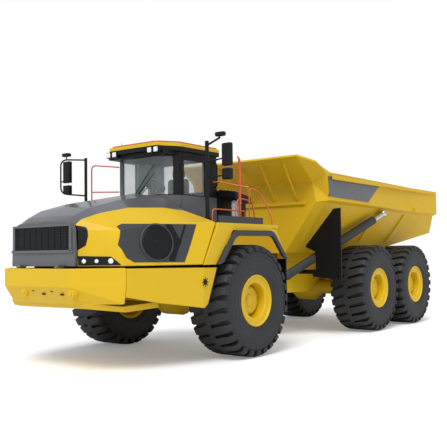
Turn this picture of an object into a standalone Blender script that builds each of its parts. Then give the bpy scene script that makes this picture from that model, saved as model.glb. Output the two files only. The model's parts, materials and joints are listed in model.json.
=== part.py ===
"""Articulated six-wheel dump truck, full size, in metres with +Z up.

+X points forward and +Y to the machine's left.  The origin lies on the ground
below the middle of the machine.  Distances along the machine are given ahead of
the front axle or of the middle axle, and heights above the axles or above the
tops of the tyres, so that the pieces follow a change of wheel or wheelbase.
"""
import math

import bmesh
import bpy
from mathutils import Matrix, Vector

# ---- driving dimensions ----
FRONT_AXLE_X = 2.78
FRONT_OVERHANG = 3.39          # front axle to the bumper's face
WHEELBASE = 5.10               # front axle to middle axle
TRACK_HALF = 1.625             # machine's centre line to a tyre's middle
TYRE_RADIUS = 1.03
TYRE_WIDTH = 0.85
RIM_RADIUS = 0.455
TANDEM_GAP = 0.105             # between the middle and rear tyres
GAP = 0.0003                   # left between pieces that touch
HITCH_BACK = 1.50              # steering pivot behind the front axle
STEEL = 0.05                   # wall of the dump bed
SHELL = 0.04                   # wall of hood and body panels

MID_AXLE_X = FRONT_AXLE_X - WHEELBASE
TANDEM_SPREAD = 2 * TYRE_RADIUS + TANDEM_GAP
TYRE_TOP = 2 * TYRE_RADIUS
INNER_FACE = TRACK_HALF - TYRE_WIDTH / 2

# ---- axle and wheel details ----
HUB_RADIUS = 0.30
HUB_FACE = 0.02                # rim's seat on the hub, outboard of the tyre's middle
AXLE_TUBE = 0.18
DIFF_RADIUS = 0.34
ROUND_STEPS = 24

# ---- frames: half-widths and heights above the axles ----
RAIL_IN = 0.42
RAIL_OUT = 0.58
FRONT_RAIL_LOW = 0.36
FRONT_RAIL_TOP = 0.77
REAR_RAIL_IN = 0.45
REAR_RAIL_OUT = 0.60
REAR_RAIL_LOW = 0.22
REAR_RAIL_TOP = 0.64
BUMPER_TOP = 0.66
HITCH_Z = 0.35
YOKE_HALF_HEIGHT = 0.28

# ---- body: half-widths and heights above the tyre tops ----
BODY_HALF = 1.90
DECK_TOP = 0.38
CAB_FLOOR = 0.42
CAB_HALF = 0.80
CAB_WALL = 0.06
SILL = 0.96                    # lower edge of the cab's glass
HEADER = 1.68                  # upper edge of the cab's glass
ROOF_LOW = 1.76
GLASS = 0.012

# ---- finishes: sRGB colour, roughness, metallic ----
FINISHES = {
    "yellow_paint": ((0.87, 0.68, 0.18), 0.35, 0.0),
    "grey_paint": ((0.34, 0.34, 0.36), 0.45, 0.0),
    "black_steel": ((0.05, 0.05, 0.055), 0.55, 0.0),
    "tyre_rubber": ((0.09, 0.09, 0.09), 0.85, 0.0),
    "orange_rail": ((0.85, 0.42, 0.20), 0.45, 0.0),
    "tinted_glass": ((0.55, 0.62, 0.64), 0.05, 0.0),
    "chrome_rod": ((0.75, 0.75, 0.76), 0.15, 1.0),
    "seat_fabric": ((0.10, 0.10, 0.11), 0.90, 0.0),
}


def ahead(distance):
    """X of a place that far ahead of the front axle."""
    return FRONT_AXLE_X + distance


def mid(distance):
    """X of a place that far ahead of the middle axle."""
    return MID_AXLE_X + distance


def axle_up(height):
    """Z of a height above the axles."""
    return TYRE_RADIUS + height


def tyre_up(height):
    """Z of a height above the tops of the tyres."""
    return TYRE_TOP + height


# ---- scene and materials ----
for leftover in list(bpy.data.objects):
    bpy.data.objects.remove(leftover)

PARTS = bpy.data.collections.new("dump_truck")
CUTTERS = bpy.data.collections.new("cutters")
bpy.context.scene.collection.children.link(PARTS)
bpy.context.scene.collection.children.link(CUTTERS)


def finish(name):
    """The named material, made on first use."""
    found = bpy.data.materials.get(name)
    if found:
        return found
    colour, roughness, metallic = FINISHES[name]
    made = bpy.data.materials.new(name)
    made.use_nodes = True
    shader = made.node_tree.nodes["Principled BSDF"]
    linear = [channel ** 2.2 for channel in colour]
    shader.inputs["Base Color"].default_value = (*linear, 1.0)
    shader.inputs["Roughness"].default_value = roughness
    shader.inputs["Metallic"].default_value = metallic
    return made


def add(name, mesh, paint):
    """Link a mesh into the model as a named object."""
    piece = bpy.data.objects.new(name, mesh)
    mesh.materials.clear()
    mesh.materials.append(finish(paint))
    PARTS.objects.link(piece)
    return piece


def mesh_from(bm, name):
    """Turn a bmesh into mesh data with outward faces."""
    bmesh.ops.recalc_face_normals(bm, faces=bm.faces)
    mesh = bpy.data.meshes.new(name)
    bm.to_mesh(mesh)
    bm.free()
    return mesh


# ---- shapes ----
def box(name, low, high, paint="yellow_paint"):
    """A block between two corners."""
    size = [b - a for a, b in zip(low, high)]
    middle = [(a + b) / 2 for a, b in zip(low, high)]
    bm = bmesh.new()
    bmesh.ops.create_cube(bm, size=1.0)
    bmesh.ops.transform(bm, matrix=Matrix.Diagonal((*size, 1.0)), verts=bm.verts)
    bmesh.ops.translate(bm, vec=middle, verts=bm.verts)
    return add(name, mesh_from(bm, name), paint)


def bar(name, start, end, radius, paint="yellow_paint", sides=16, far_radius=None):
    """A round bar, or a cone, between two points."""
    start = Vector(start)
    along = Vector(end) - start
    bm = bmesh.new()
    bmesh.ops.create_cone(bm, cap_ends=True, segments=sides, radius1=radius,
                          radius2=far_radius or radius, depth=along.length)
    turn = along.to_track_quat("Z", "Y").to_matrix().to_4x4()
    place = Matrix.Translation(start + along / 2) @ turn
    bmesh.ops.transform(bm, matrix=place, verts=bm.verts)
    return add(name, mesh_from(bm, name), paint)


PLANES = {   # where a flat outline's own X, Y and normal point
    "side": Matrix(((1, 0, 0), (0, 0, -1), (0, 1, 0))),
    "front": Matrix(((0, 0, 1), (1, 0, 0), (0, 1, 0))),
    "plan": Matrix(((1, 0, 0), (0, 1, 0), (0, 0, 1))),
}


def solid_curve(curve, name, place, paint):
    """Make a curve a closed mesh in its place."""
    shape = bpy.data.objects.new(name + "_curve", curve)
    PARTS.objects.link(shape)
    shape.matrix_world = place
    bpy.context.view_layer.update()
    graph = bpy.context.evaluated_depsgraph_get()
    mesh = bpy.data.meshes.new_from_object(shape.evaluated_get(graph))
    bm = bmesh.new()
    bm.from_mesh(mesh)
    bmesh.ops.remove_doubles(bm, verts=bm.verts, dist=0.00005)
    bmesh.ops.transform(bm, matrix=place, verts=bm.verts)
    bpy.data.objects.remove(shape)
    return add(name, mesh_from(bm, name), paint)


def outline(name, plane, points, low, high, paint="yellow_paint"):
    """A flat outline in the side, front or plan view, between two distances."""
    curve = bpy.data.curves.new(name, "CURVE")
    curve.dimensions = "2D"
    curve.fill_mode = "BOTH"
    curve.extrude = (high - low) / 2
    spline = curve.splines.new("POLY")
    spline.points.add(len(points) - 1)
    for point, (across, up) in zip(spline.points, points):
        point.co = (across, up, 0, 1)
    spline.use_cyclic_u = True
    turn = PLANES[plane].to_4x4()
    normal = turn.to_3x3() @ Vector((0, 0, 1))
    middle = (low + high) / 2 * Vector([abs(axis) for axis in normal])
    return solid_curve(curve, name, Matrix.Translation(middle) @ turn, paint)


def tube(name, points, radius, paint="orange_rail"):
    """A round tube along a list of points."""
    curve = bpy.data.curves.new(name, "CURVE")
    curve.dimensions = "3D"
    curve.bevel_depth = radius
    curve.bevel_resolution = 1
    curve.use_fill_caps = True
    spline = curve.splines.new("POLY")
    spline.points.add(len(points) - 1)
    for point, place in zip(spline.points, points):
        point.co = (*place, 1)
    return solid_curve(curve, name, Matrix.Identity(4), paint)


def turned(name, profile, centre, side, paint, steps=ROUND_STEPS, mesh=None):
    """A profile of (radius, outboard) turned about a cross axis; side is 1 left, -1 right."""
    if mesh is None:
        mesh = bpy.data.meshes.new(name)
        corners = [(radius, 0, outboard) for radius, outboard in profile]
        closed = profile[0][0] > 0
        ends = len(corners) if closed else len(corners) - 1
        edges = [(i, (i + 1) % len(corners)) for i in range(ends)]
        mesh.from_pydata(corners, edges, [])
    piece = add(name, mesh, paint)
    screw = piece.modifiers.new("turn", "SCREW")
    screw.steps = steps
    screw.render_steps = steps
    screw.use_merge_vertices = True
    screw.merge_threshold = 0.0001
    screw.use_smooth_shade = False
    piece.rotation_euler = (-side * math.pi / 2, 0, 0)
    piece.location = centre
    return piece


def shell(name, stations, thickness, paint="yellow_paint"):
    """A skin through rows of points on the left half, mirrored and thickened inward."""
    bm = bmesh.new()
    rows = []
    for row in stations:
        right = [(x, -y, z) for x, y, z in reversed(row) if y > 0]
        rows.append([bm.verts.new(place) for place in right + list(row)])
    for front, back in zip(rows, rows[1:]):
        for i in range(len(front) - 1):
            bm.faces.new((front[i], front[i + 1], back[i + 1], back[i]))
    mesh = bpy.data.meshes.new(name)
    bm.to_mesh(mesh)
    bm.free()
    piece = add(name, mesh, paint)
    wall = piece.modifiers.new("wall", "SOLIDIFY")
    wall.thickness = thickness
    wall.offset = -1
    wall.use_even_offset = True
    return piece


# ---- joining and cutting ----
def boolean(piece, operation, tools):
    """Apply other shapes to a piece and set them aside with the cutters."""
    for tool in tools:
        PARTS.objects.unlink(tool)
        CUTTERS.objects.link(tool)
        tool.hide_render = True
        tool.display_type = "WIRE"
        step = piece.modifiers.new(tool.name, "BOOLEAN")
        step.operation = operation
        step.solver = "EXACT"
        step.object = tool
    return piece


def unite(piece, *tools):
    return boolean(piece, "UNION", tools)


def cut(piece, *tools):
    return boolean(piece, "DIFFERENCE", tools)


def pivot(piece, place):
    """Move a piece's origin to a joint's axis; its shape stays where it is."""
    piece.data.transform(Matrix.Translation(-Vector(place)))
    piece.location = place
    return piece


SIDES = (("left", 1), ("right", -1))


# ---- wheels and axles ----
def tyre_profile():
    half = TYRE_WIDTH / 2
    crown = half - 0.095
    return [
        (0.60, half - 0.015), (0.80, half), (0.93, half - 0.025), (TYRE_RADIUS, crown),
        (TYRE_RADIUS, -crown), (0.93, -half + 0.025), (0.80, -half), (0.60, -half + 0.015),
        (RIM_RADIUS + GAP, -crown), (RIM_RADIUS + GAP, crown),
    ]


def rim_profile():
    crown = TYRE_WIDTH / 2 - 0.095
    flange = RIM_RADIUS + 0.016
    lip = TYRE_WIDTH / 2 - 0.038
    barrel = RIM_RADIUS - 0.025
    return [
        (0, 0.30), (0.22, 0.30), (0.24, 0.27), (0.24, 0.08), (barrel, 0.08), (barrel, lip),
        (flange, lip), (flange, crown + 0.02), (RIM_RADIUS, crown + 0.01),
        (RIM_RADIUS, -crown - 0.01), (flange, -crown - 0.02), (flange, -lip),
        (barrel, -lip), (barrel, HUB_FACE), (0, HUB_FACE),
    ]


AXLES = (   # name, distance from the origin along X
    ("front", FRONT_AXLE_X),
    ("middle", MID_AXLE_X),
    ("rear", MID_AXLE_X - TANDEM_SPREAD),
)


def wheels():
    tyre_mesh = None
    rim_mesh = None
    for axle, x in AXLES:
        for side, sign in SIDES:
            centre = (x, sign * TRACK_HALF, TYRE_RADIUS)
            tyre = turned(f"{axle}_{side}_tyre", tyre_profile(), centre, sign,
                          "tyre_rubber", mesh=tyre_mesh)
            rim = turned(f"{axle}_{side}_rim", rim_profile(), centre, sign,
                         "yellow_paint", mesh=rim_mesh)
            tyre_mesh = tyre.data
            rim_mesh = rim.data


def axle(name, x):
    """Axle housing with its differential and hub ends, turned about Y."""
    end = TRACK_HALF + HUB_FACE - GAP
    neck = INNER_FACE - 0.10
    half = [(HUB_RADIUS, end), (HUB_RADIUS, neck + 0.15), (AXLE_TUBE, neck),
            (AXLE_TUBE, 0.42), (DIFF_RADIUS, 0.22)]
    profile = [(0, end)] + half + [(r, -y) for r, y in reversed(half)] + [(0, -end)]
    return turned(name, profile, (x, 0, TYRE_RADIUS), 1, "yellow_paint", steps=16)


def axles():
    front = axle("front_axle", FRONT_AXLE_X)
    struts = []
    for side, sign in SIDES:
        foot = (FRONT_AXLE_X, sign * 0.5, TYRE_RADIUS)
        head = (FRONT_AXLE_X, sign * 0.5, axle_up(FRONT_RAIL_LOW) - GAP)
        struts.append(bar(f"front_strut_{side}", foot, head, 0.09, sides=12))
    unite(front, *struts)
    axle("middle_axle", MID_AXLE_X)
    axle("rear_axle", MID_AXLE_X - TANDEM_SPREAD)


def bogie_beams():
    """Beam on each side that carries the middle and rear axles under the frame."""
    rear = -TANDEM_SPREAD
    low = axle_up(AXLE_TUBE + GAP)
    points = [(mid(0.15), low), (mid(0.15), low + 0.18), (mid(rear / 2 + 0.2), low + 0.38),
              (mid(rear / 2 - 0.2), low + 0.38), (mid(rear - 0.15), low + 0.18),
              (mid(rear - 0.15), low)]
    for side, sign in SIDES:
        inner = REAR_RAIL_OUT + GAP
        ends = sorted((sign * inner, sign * (inner + 0.14)))
        outline(f"bogie_beam_{side}", "side", points, *ends)


# ---- front frame, engine and hitch ----
STEER_ROD_Z = axle_up(0.22)             # the steering cylinders lie below the rails
STEER_EYE_HALF = 0.06
STEER_PIN = (ahead(-0.35), 0.74, STEER_ROD_Z)
STEER_EYE = (ahead(-HITCH_BACK - 0.19), 0.42, STEER_ROD_Z)


def front_frame():
    low = axle_up(FRONT_RAIL_LOW)
    top = axle_up(FRONT_RAIL_TOP)
    rear = ahead(0.35 - HITCH_BACK)
    nose = ahead(2.95)
    ear_up = axle_up(HITCH_Z + YOKE_HALF_HEIGHT + GAP)
    ear_low = axle_up(HITCH_Z - YOKE_HALF_HEIGHT - GAP)
    deck_low = tyre_up(DECK_TOP - 0.06 - GAP)
    shelf = STEER_ROD_Z + STEER_EYE_HALF + GAP
    frame = box("front_frame", (rear, RAIL_IN, low), (nose, RAIL_OUT, top))
    ear = [(rear + 0.1, 0.42)]
    for i in range(9):
        angle = math.radians(90 + 22.5 * i)
        ear.append((ahead(-HITCH_BACK) + 0.26 * math.cos(angle), 0.26 * math.sin(angle)))
    ear.append((rear + 0.1, -0.42))
    ear_small = [(rear + 0.1, 0.30), *ear[1:-1], (rear + 0.1, -0.30)]
    blocks = (   # name, low corner, high corner
        ("rail_right", (rear, -RAIL_OUT, low), (nose, -RAIL_IN, top)),
        ("cross_nose", (nose - 0.2, -RAIL_OUT, low + 0.02), (nose + 0.02, RAIL_OUT, top - 0.02)),
        ("cross_hitch", (rear - 0.02, -0.52, low + 0.01), (rear + 0.14, 0.52, top + 0.02)),
        ("hitch_post", (rear - 0.02, -0.30, ear_low - 0.10), (rear + 0.12, 0.30, low + 0.03)),
        ("skirt_arm", (ahead(1.16), GAP + 0.08 - BODY_HALF, low + 0.02),
         (ahead(1.34), BODY_HALF - 0.08 - GAP, low + 0.14)),
        ("cab_post_1", (ahead(-0.33), 0.44, top - 0.1), (ahead(-0.17), 0.56, tyre_up(CAB_FLOOR) - GAP)),
        ("cab_post_2", (ahead(-0.33), -0.56, top - 0.1), (ahead(-0.17), -0.44, tyre_up(CAB_FLOOR) - GAP)),
        ("cab_post_3", (ahead(0.57), 0.44, top - 0.1), (ahead(0.73), 0.56, tyre_up(CAB_FLOOR) - GAP)),
        ("cab_post_4", (ahead(0.57), -0.56, top - 0.1), (ahead(0.73), -0.44, tyre_up(CAB_FLOOR) - GAP)),
        ("deck_arm_1", (ahead(-0.31), -1.5, deck_low - 0.12), (ahead(-0.19), 1.5, deck_low)),
        ("deck_arm_2", (ahead(0.59), -1.5, deck_low - 0.12), (ahead(0.71), 1.5, deck_low)),
        ("steer_shelf_1", (STEER_PIN[0] - 0.08, RAIL_OUT - 0.05, shelf),
         (STEER_PIN[0] + 0.08, STEER_PIN[1] + 0.07, low + 0.06)),
        ("steer_shelf_2", (STEER_PIN[0] - 0.08, -STEER_PIN[1] - 0.07, shelf),
         (STEER_PIN[0] + 0.08, 0.05 - RAIL_OUT, low + 0.06)),
    )
    tools = [box(name, low_corner, high_corner) for name, low_corner, high_corner in blocks]
    tools.append(outline("ear_top", "plan", ear, ear_up, ear_up + 0.12))
    tools.append(outline("ear_low", "plan", ear_small, ear_low - 0.12, ear_low))
    unite(frame, *tools)


def engine():
    top = axle_up(FRONT_RAIL_TOP)
    box("engine_block", (ahead(1.05), -0.56, top + GAP), (ahead(2.55), 0.56, top + 0.62),
        "grey_paint")


def hitch_yoke():
    """Steering pivot block with its swivel flange to the rear frame."""
    x = ahead(-HITCH_BACK)
    z = axle_up(HITCH_Z)
    post = bar("hitch_yoke", (x, 0, z - YOKE_HALF_HEIGHT), (x, 0, z + YOKE_HALF_HEIGHT), 0.22)
    swivel = bar("swivel", (x, 0, z), (x - 0.76, 0, z), 0.20)
    flange = bar("flange", (x - 0.72, 0, z), (x - 0.80, 0, z), 0.34, sides=20)
    arm = box("steer_arm", (x - 0.28, -0.50, z - YOKE_HALF_HEIGHT),
              (x - 0.10, 0.50, STEER_ROD_Z - STEER_EYE_HALF - GAP))
    unite(post, swivel, flange, arm)
    pivot(post, (x, 0, z))


# ---- rear frame ----
def rear_frame():
    nose = ahead(-HITCH_BACK - 0.80) - GAP
    start = nose - 0.16
    low = axle_up(REAR_RAIL_LOW)
    top = axle_up(REAR_RAIL_TOP)
    pin = mid(PIN_BACK)
    tail = pin - 0.22
    side = [
        (start, axle_up(-0.05)), (start, top), (pin + 0.28, top), (pin + 0.14, PIN_Z + 0.12),
        (pin - 0.14, PIN_Z + 0.12), (tail, top), (tail, low), (mid(0.45), low),
        (mid(0.85), axle_up(-0.07)),
    ]
    frame = outline("rear_frame", "side", side, REAR_RAIL_IN, REAR_RAIL_OUT)
    hoist_x, hoist_y, hoist_z = HOIST_PIN
    blocks = [   # name, low corner, high corner
        ("nose_block", (start - 0.30, -0.40, axle_up(HITCH_Z - 0.30)),
         (nose, 0.40, axle_up(HITCH_Z + 0.27))),
        ("nose_cross", (start - 0.35, -0.55, axle_up(HITCH_Z - 0.28)),
         (start - 0.05, 0.55, axle_up(HITCH_Z + 0.25))),
    ]
    for i, x in enumerate((mid(1.6), mid(-TANDEM_SPREAD / 2), pin)):
        blocks.append((f"cross_{i}", (x - 0.12, -0.55, low + 0.04), (x + 0.12, 0.55, top - 0.04)))
    for side_name, sign in SIDES:
        near, far = sorted((sign * (REAR_RAIL_OUT - 0.05), sign * (hoist_y - HOIST_BALL - GAP)))
        blocks.append((f"hoist_bracket_{side_name}", (hoist_x - 0.13, near, hoist_z - 0.13),
                       (hoist_x + 0.13, far, hoist_z + 0.13)))
    tools = [box(name, low_corner, high_corner) for name, low_corner, high_corner in blocks]
    tools.append(outline("rail_right_rear", "side", side, -REAR_RAIL_OUT, -REAR_RAIL_IN))
    unite(frame, *tools)
    pivot(frame, (nose, 0, axle_up(HITCH_Z)))


def mudguards():
    """Black plate ahead of each middle wheel, on an arm from the rear frame."""
    x = mid(1.80)
    points = [   # half-width, height above the axles
        (REAR_RAIL_OUT + GAP, 0.38), (REAR_RAIL_OUT + GAP, 0.48), (1.32, 0.48), (1.32, 0.88),
        (1.05, 1.00), (1.80, 1.84), (1.97, 1.855), (1.97, 0.24), (1.24, 0.32), (1.24, 0.38),
    ]
    for side, sign in SIDES:
        flat = [(sign * y, axle_up(h)) for y, h in points]
        outline(f"mudguard_{side}", "front", flat, x - 0.02, x + 0.02, "black_steel")


# ---- dump bed ----
PIN_BACK = -2.90                        # bed's pivot behind the middle axle
PIN_Z = tyre_up(-0.21)
BED_FLOOR = -0.17                       # underside of the floor over the tyre tops

BED_STATIONS = (   # five or six places a row: ahead of middle axle, half-width, over tyre tops
    ((2.35, 0, BED_FLOOR), (2.35, 0.85, BED_FLOOR), (2.35, 1.64, 0.90), (2.35, 1.68, 0.94),
     (2.35, 1.58, 1.39), (3.04, 1.62, 1.88)),
    ((1.80, 0, BED_FLOOR), (1.90, 0.87, BED_FLOOR), (2.10, 1.76, 0.93), (2.12, 1.90, 0.98),
     (2.30, 1.90, 1.56), (2.62, 1.86, 1.76)),
    ((-0.50, 0, -0.10), (-0.50, 1.00, -0.10), (-0.50, 1.77, 0.90), (-0.50, 1.91, 0.94),
     (-0.50, 1.91, 1.54), (2.12, 1.90, 1.59)),
    ((-2.30, 0, -0.03), (-2.30, 1.12, -0.03), (-2.30, 1.80, 0.84), (-2.30, 1.92, 0.90),
     (-2.30, 1.92, 1.50), (-2.30, 1.92, 1.53)),
    ((-3.85, 0, 0.34), (-3.85, 1.75, 0.36), (-3.85, 1.86, 0.84), (-3.85, 1.98, 0.89),
     (-3.85, 1.98, 1.44), (-3.85, 1.98, 1.48)),
)


def bed_skin():
    """Open-topped steel skin: floor, flared sides, front wall and forward-leaning head."""
    bm = bmesh.new()
    rows = []
    for row in BED_STATIONS:
        places = [(mid(x), y, tyre_up(z)) for x, y, z in row]
        right = [(x, -y, z) for x, y, z in reversed(places) if y > 0]
        rows.append([bm.verts.new(place) for place in right + places])
    for front, back in zip(rows, rows[1:]):
        for i in range(len(front) - 1):
            bm.faces.new((front[i], front[i + 1], back[i + 1], back[i]))
    wall = rows[0]
    last = len(wall) - 1
    low = last // 2 - 2
    for i in range(low):
        bm.faces.new((wall[i], wall[last - i], wall[last - i - 1], wall[i + 1]))
    bm.faces.new(wall[low:last - low + 1])
    bmesh.ops.triangulate(bm, faces=bm.faces)
    bed = add("dump_bed", mesh_from(bm, "dump_bed"), "yellow_paint")
    thicken = bed.modifiers.new("plate", "SOLIDIFY")
    thicken.thickness = STEEL
    thicken.offset = -1
    thicken.use_even_offset = True
    return bed


def dump_bed():
    bed = bed_skin()
    rail_top = axle_up(REAR_RAIL_TOP) + GAP
    runner = [(mid(2.10), rail_top), (mid(2.10), tyre_up(BED_FLOOR + 0.03)),
              (mid(-2.25), tyre_up(0.0)), (mid(-2.45), tyre_up(0.0)), (mid(-2.45), rail_top)]
    lug = [(mid(-2.62), tyre_up(0.08)), (mid(-2.70), PIN_Z - 0.14), (mid(PIN_BACK - 0.14), PIN_Z - 0.14),
           (mid(PIN_BACK - 0.24), tyre_up(0.22))]
    tools = []
    for side, sign in SIDES:
        near, far = sorted((sign * (REAR_RAIL_IN + 0.02), sign * (REAR_RAIL_OUT - 0.02)))
        tools.append(outline(f"runner_{side}", "side", runner, near, far))
        near, far = sorted((sign * (REAR_RAIL_OUT + 0.006), sign * (REAR_RAIL_OUT + 0.14)))
        tools.append(outline(f"lug_{side}", "side", lug, near, far))
        eye_x, eye_y, eye_z = HOIST_EYE
        near, far = sorted((sign * (eye_y - 0.16), sign * (eye_y - HOIST_EYE_BALL - GAP)))
        tools.append(box(f"hoist_ear_{side}", (eye_x - 0.14, near, eye_z - 0.02),
                         (eye_x + 0.01, far, eye_z + 0.07)))
    unite(bed, *tools)
    tail = mid(-3.85)
    cut(bed, box("tail_trim", (tail - 0.2, -2.2, tyre_up(0.1)), (tail, 2.2, tyre_up(1.7))))
    pivot(bed, (mid(PIN_BACK), 0, PIN_Z))


# ---- cylinders ----
HOIST_PIN = (mid(2.46), 0.97, axle_up(0.37))
HOIST_EYE = (mid(-0.62), 1.86, tyre_up(0.79))
HOIST_BALL = 0.11                       # ball ends of the hoist cylinders
HOIST_EYE_BALL = 0.085


def ball(name, centre, radius):
    """A round end that turns in any direction on its pin."""
    bm = bmesh.new()
    bmesh.ops.create_uvsphere(bm, u_segments=12, v_segments=8, radius=radius)
    bmesh.ops.translate(bm, vec=centre, verts=bm.verts)
    return add(name, mesh_from(bm, name), "grey_paint")


def flat_eye(name, centre, radius, half):
    """A round eye on an upright pin."""
    offset = Vector((0, 0, half))
    return bar(name, centre - offset, centre + offset, radius, "grey_paint", sides=12)


def cylinder(name, pin, eye, barrel_length, travel_in, radius, rod_radius, ends):
    """A barrel that swings at its pin and a rod that slides in it; ends are their two eyes.

    travel_in is how far the rod still slides into the barrel from rest.
    """
    along = (eye - pin).normalized()
    mouth = pin + along * barrel_length
    depth = radius + 0.02
    barrel = bar(f"{name[0]}_barrel_{name[1]}", pin + along * radius * 0.5, mouth, radius, "grey_paint")
    bore = bar(f"{name[0]}_bore_{name[1]}", pin + along * depth, mouth + along * 0.1,
               rod_radius + 0.006, sides=12)
    unite(barrel, ends[0])
    cut(barrel, bore)
    pivot(barrel, pin)
    rod = bar(f"{name[0]}_rod_{name[1]}", pin + along * (depth + travel_in + 0.01), eye, rod_radius,
              "chrome_rod", sides=12)
    unite(rod, ends[1])
    pivot(rod, eye)


def cylinders():
    for side, sign in SIDES:
        mirror = Vector((1, sign, 1))
        pin = Vector(HOIST_PIN) * mirror
        eye = Vector(HOIST_EYE) * mirror
        balls = (ball(f"hoist_pin_ball_{side}", pin, HOIST_BALL),
                 ball(f"hoist_eye_ball_{side}", eye, HOIST_EYE_BALL))
        cylinder(("hoist", side), pin, eye, 3.10, 0.02, 0.10, 0.06, balls)
        pin = Vector(STEER_PIN) * mirror
        eye = Vector(STEER_EYE) * mirror
        eyes = (flat_eye(f"steer_pin_eye_{side}", pin, 0.065, STEER_EYE_HALF),
                flat_eye(f"steer_rod_eye_{side}", eye, 0.055, STEER_EYE_HALF))
        cylinder(("steering", side), pin, eye, 0.90, 0.34, 0.052, 0.03, eyes)


# ---- bumper, skirts and fenders ----
BUMPER_SWEEP = 0.60            # bumper's ends behind its face
BUMPER_END = 1.51              # half-width at those ends
SEAM_GAP = 0.006


def bumper():
    """Swept steel bumper, drawn in towards its lower edge."""
    nose = ahead(FRONT_OVERHANG)
    levels = ((BUMPER_TOP, 0), (0.37, 0), (0.09, 0.16))  # height over axles, drawn in by
    path = (   # behind the nose, half-width, share of the drawing in
        (0, 0.83, 1), (BUMPER_SWEEP, BUMPER_END, 0),
        (BUMPER_SWEEP, BUMPER_END - 0.06, 0), (0.07, 0.80, 1),
    )
    bm = bmesh.new()
    rings = []
    for height, inset in levels:
        half = [(nose - back - inset * share, side - inset * 0.25) for back, side, share in path]
        ring = half + [(x, -y) for x, y in reversed(half)]
        rings.append([bm.verts.new((x, y, axle_up(height))) for x, y in ring])
    for upper, lower in zip(rings, rings[1:]):
        for i, (a, b) in enumerate(zip(upper, lower)):
            j = (i + 1) % len(upper)
            bm.faces.new((a, upper[j], lower[j], b))
    bm.faces.new(rings[0])
    bm.faces.new(list(reversed(rings[-1])))
    bumper_piece = add("front_bumper", mesh_from(bm, "front_bumper"), "yellow_paint")
    seat = box("bumper_seat", (ahead(2.97) + GAP, -0.5, axle_up(0.40)),
               (nose - 0.05, 0.5, axle_up(0.62)))
    unite(bumper_piece, seat)


def skirts():
    """Slanting side plates from the bumper's ends back to the wheel arches."""
    seam = ahead(FRONT_OVERHANG - BUMPER_SWEEP) - SEAM_GAP
    full = ahead(1.36)
    side = [(seam, axle_up(0.65)), (ahead(0.99), axle_up(0.63)), (ahead(1.24), axle_up(0.02)),
            (ahead(1.33), axle_up(-0.05)), (ahead(2.20), axle_up(0.08)), (seam, axle_up(0.20))]
    for name, sign in SIDES:
        plan = [(seam, BUMPER_END), (full, BODY_HALF - 0.02), (ahead(0.9), BODY_HALF - 0.02),
                (ahead(0.9), BODY_HALF - 0.08), (full, BODY_HALF - 0.08), (seam, BUMPER_END - 0.06)]
        plate = outline(f"side_skirt_{name}", "plan", [(x, sign * y) for x, y in plan],
                        axle_up(-0.2), axle_up(0.8))
        boolean(plate, "INTERSECT", [outline(f"skirt_side_{name}", "side", side, -2, 2)])


ARCH = ((1.04, -0.35), (0.55, 0.25), (-0.66, 0.26), (-1.14, -0.28))   # ahead, over tyre tops


def fenders():
    deck = tyre_up(DECK_TOP)
    arch = [(ahead(x), tyre_up(z)) for x, z in ARCH]
    side_plate = [(ahead(1.36), arch[0][1]), (ahead(0.95), deck), (ahead(-0.32), deck),
                  (ahead(-0.84), deck - 0.10), (arch[3][0] - 0.06, arch[3][1])] + arch[::-1]
    flare = arch + [(x + shift, z - drop) for (x, z), shift, drop in
                    zip(arch[::-1], (0.10, 0.03, -0.03, -0.10), (0.01, 0.10, 0.10, 0.01))]
    for side, sign in SIDES:
        near, far = sorted((sign * (BODY_HALF - 0.06), sign * BODY_HALF))
        panel = outline(f"fender_{side}", "side", side_plate, near, far)
        near, far = sorted((sign * 0.86, sign * (BODY_HALF - 0.01)))
        top = outline(f"fender_top_{side}", "side",
                      [(ahead(-0.90), deck - 0.06), (ahead(-0.92), deck), (ahead(0.95), deck),
                       (ahead(0.95), deck - 0.06)], near, far)
        unite(panel, top)
        near, far = sorted((sign * (BODY_HALF + GAP), sign * (BODY_HALF + 0.07)))
        outline(f"arch_flare_{side}", "side", flare, near, far, "grey_paint")
        near, far = sorted((sign * (INNER_FACE + 0.02), sign * (BODY_HALF - 0.01)))
        foot = arch[3][0] - 0.03
        outline(f"mudflap_{side}", "side",
                [(foot - 0.03, arch[3][1] - GAP), (foot - 0.03, axle_up(-0.33)),
                 (foot, axle_up(-0.33)), (foot, arch[3][1] - GAP)], near, far, "black_steel")


# ---- hood ----
HOOD_STATIONS = (   # five places a row: ahead of the front axle, half-width, over tyre tops
    ((3.19, 0, 0.40), (3.19, 0.60, 0.38), (3.18, 0.76, 0.32), (3.17, 0.80, 0.24),
     (3.19, 0.82, -0.34)),
    ((3.08, 0, 0.50), (3.08, 0.60, 0.48), (3.08, 0.78, 0.41), (3.06, 0.95, 0.23),
     (3.07, 1.01, -0.34)),
    ((2.78, 0, 0.65), (2.78, 0.65, 0.62), (2.78, 0.90, 0.52), (2.80, 1.36, 0.22),
     (2.80, 1.45, -0.34)),
    ((2.20, 0, 0.80), (2.20, 0.70, 0.77), (2.28, 1.04, 0.62), (2.34, 1.50, 0.30),
     (2.34, 1.60, -0.34)),
    ((1.55, 0, 0.92), (1.55, 0.75, 0.87), (1.60, 1.22, 0.64), (1.75, 1.66, 0.36),
     (1.80, 1.75, -0.34)),
    ((1.08, 0, 1.00), (1.08, 0.80, 0.84), (1.15, 1.30, 0.60), (0.985, 1.86, 0.385),
     (1.385, 1.885, -0.34)),
)
HINGE_RADIUS = 0.02
HOOD_HINGE = (ahead(3.35), 0, axle_up(BUMPER_TOP) + GAP + HINGE_RADIUS)


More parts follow.
